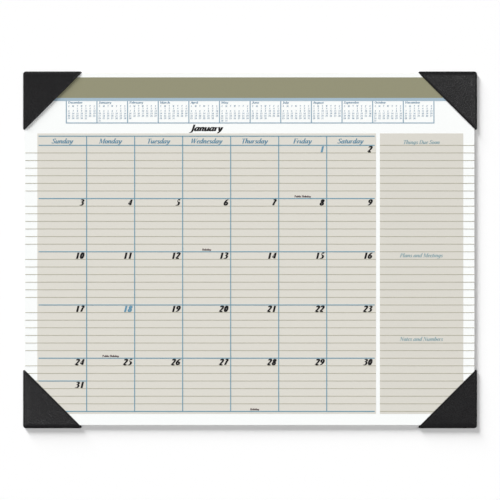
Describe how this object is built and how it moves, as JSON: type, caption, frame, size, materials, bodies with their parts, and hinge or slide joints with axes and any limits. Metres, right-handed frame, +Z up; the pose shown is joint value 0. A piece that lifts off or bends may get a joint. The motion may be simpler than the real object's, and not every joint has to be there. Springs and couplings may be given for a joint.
{
  "type": "desk pad calendar",
  "caption": "Large flat desk pad calendar: a glued block of month sheets on a board, held by leatherette corner pockets.",
  "frame": {"origin": "under the middle of the pad's outline, on the surface it lies on", "axes": "+X to the right across the sheets, +Y towards their head, +Z up out of the printed side"},
  "size_m": [0.5572, 0.4382, 0.0045],
  "materials": {
    "sheet_paper": "matte",
    "chipboard": "matte",
    "padding_gum": "satin",
    "olive_print": "matte",
    "pale_blue_print": "matte",
    "tint_print": "matte",
    "grid_blue_print": "matte",
    "black_print": "matte",
    "leatherette": "satin"
  },
  "bodies": {
    "root": {"backing_board": "chipboard", "monthly_sheets": "sheet_paper", "padding_gum": "padding_gum", "print_header_band": "olive_print", "print_year_frame": "pale_blue_print", "print_month_field": "tint_print", "print_notes_field": "tint_print", "print_month_grid": "grid_blue_print", "corner_bottom_left": "leatherette", "corner_bottom_right": "leatherette", "corner_top_right": "leatherette", "corner_top_left": "leatherette"}
  },
  "joints": []
}
